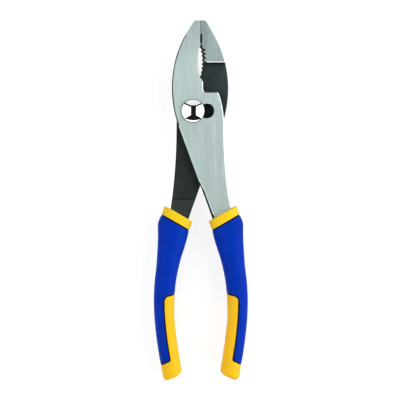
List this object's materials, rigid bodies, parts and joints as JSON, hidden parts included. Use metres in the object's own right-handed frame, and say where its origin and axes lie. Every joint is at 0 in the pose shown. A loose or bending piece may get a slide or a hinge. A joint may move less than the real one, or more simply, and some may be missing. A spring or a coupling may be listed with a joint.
{
  "type": "slip joint pliers",
  "caption": "Slip joint pliers with toothed jaws, a slotted two-position joint under a domed bolt head and soft two-colour cushion grips.",
  "frame": {"origin": "on the bolt's axis, on the flat back of the bolt's end, which is level with the table that the pliers lie on", "axes": "+X to the right handle's side, +Y towards the tips of the jaws, +Z out of the front face with the bolt's head"},
  "size_m": [0.053, 0.2019, 0.0171],
  "materials": {
    "bright_steel": "ground and brushed lengthwise",
    "black_steel": "black oxide with a ground nose",
    "chrome": "mirror polished",
    "nut_steel": "satin",
    "yellow_grip": "satin",
    "blue_grip": "satin"
  },
  "bodies": {
    "front_jaw": {"front_half": "bright_steel", "right_collar": "yellow_grip", "right_sleeve": "blue_grip", "right_pad": "yellow_grip"},
    "pivot": {"pivot_bolt": "chrome", "pivot_nut": "nut_steel"},
    "rear_jaw": {"rear_half": "black_steel", "left_collar": "yellow_grip", "left_sleeve": "blue_grip", "left_pad": "yellow_grip"}
  },
  "joints": [
    {"name": "slip_slide", "type": "slide", "parent": "front_jaw", "child": "pivot", "axis": [1, 0, 0], "range_m": [0, 0.0078]},
    {"name": "jaw_hinge", "type": "hinge", "parent": "pivot", "child": "rear_jaw", "pos_m": [0, 0, 0], "axis": [0, 0, -1], "range_deg": [0, 45]}
  ]
}
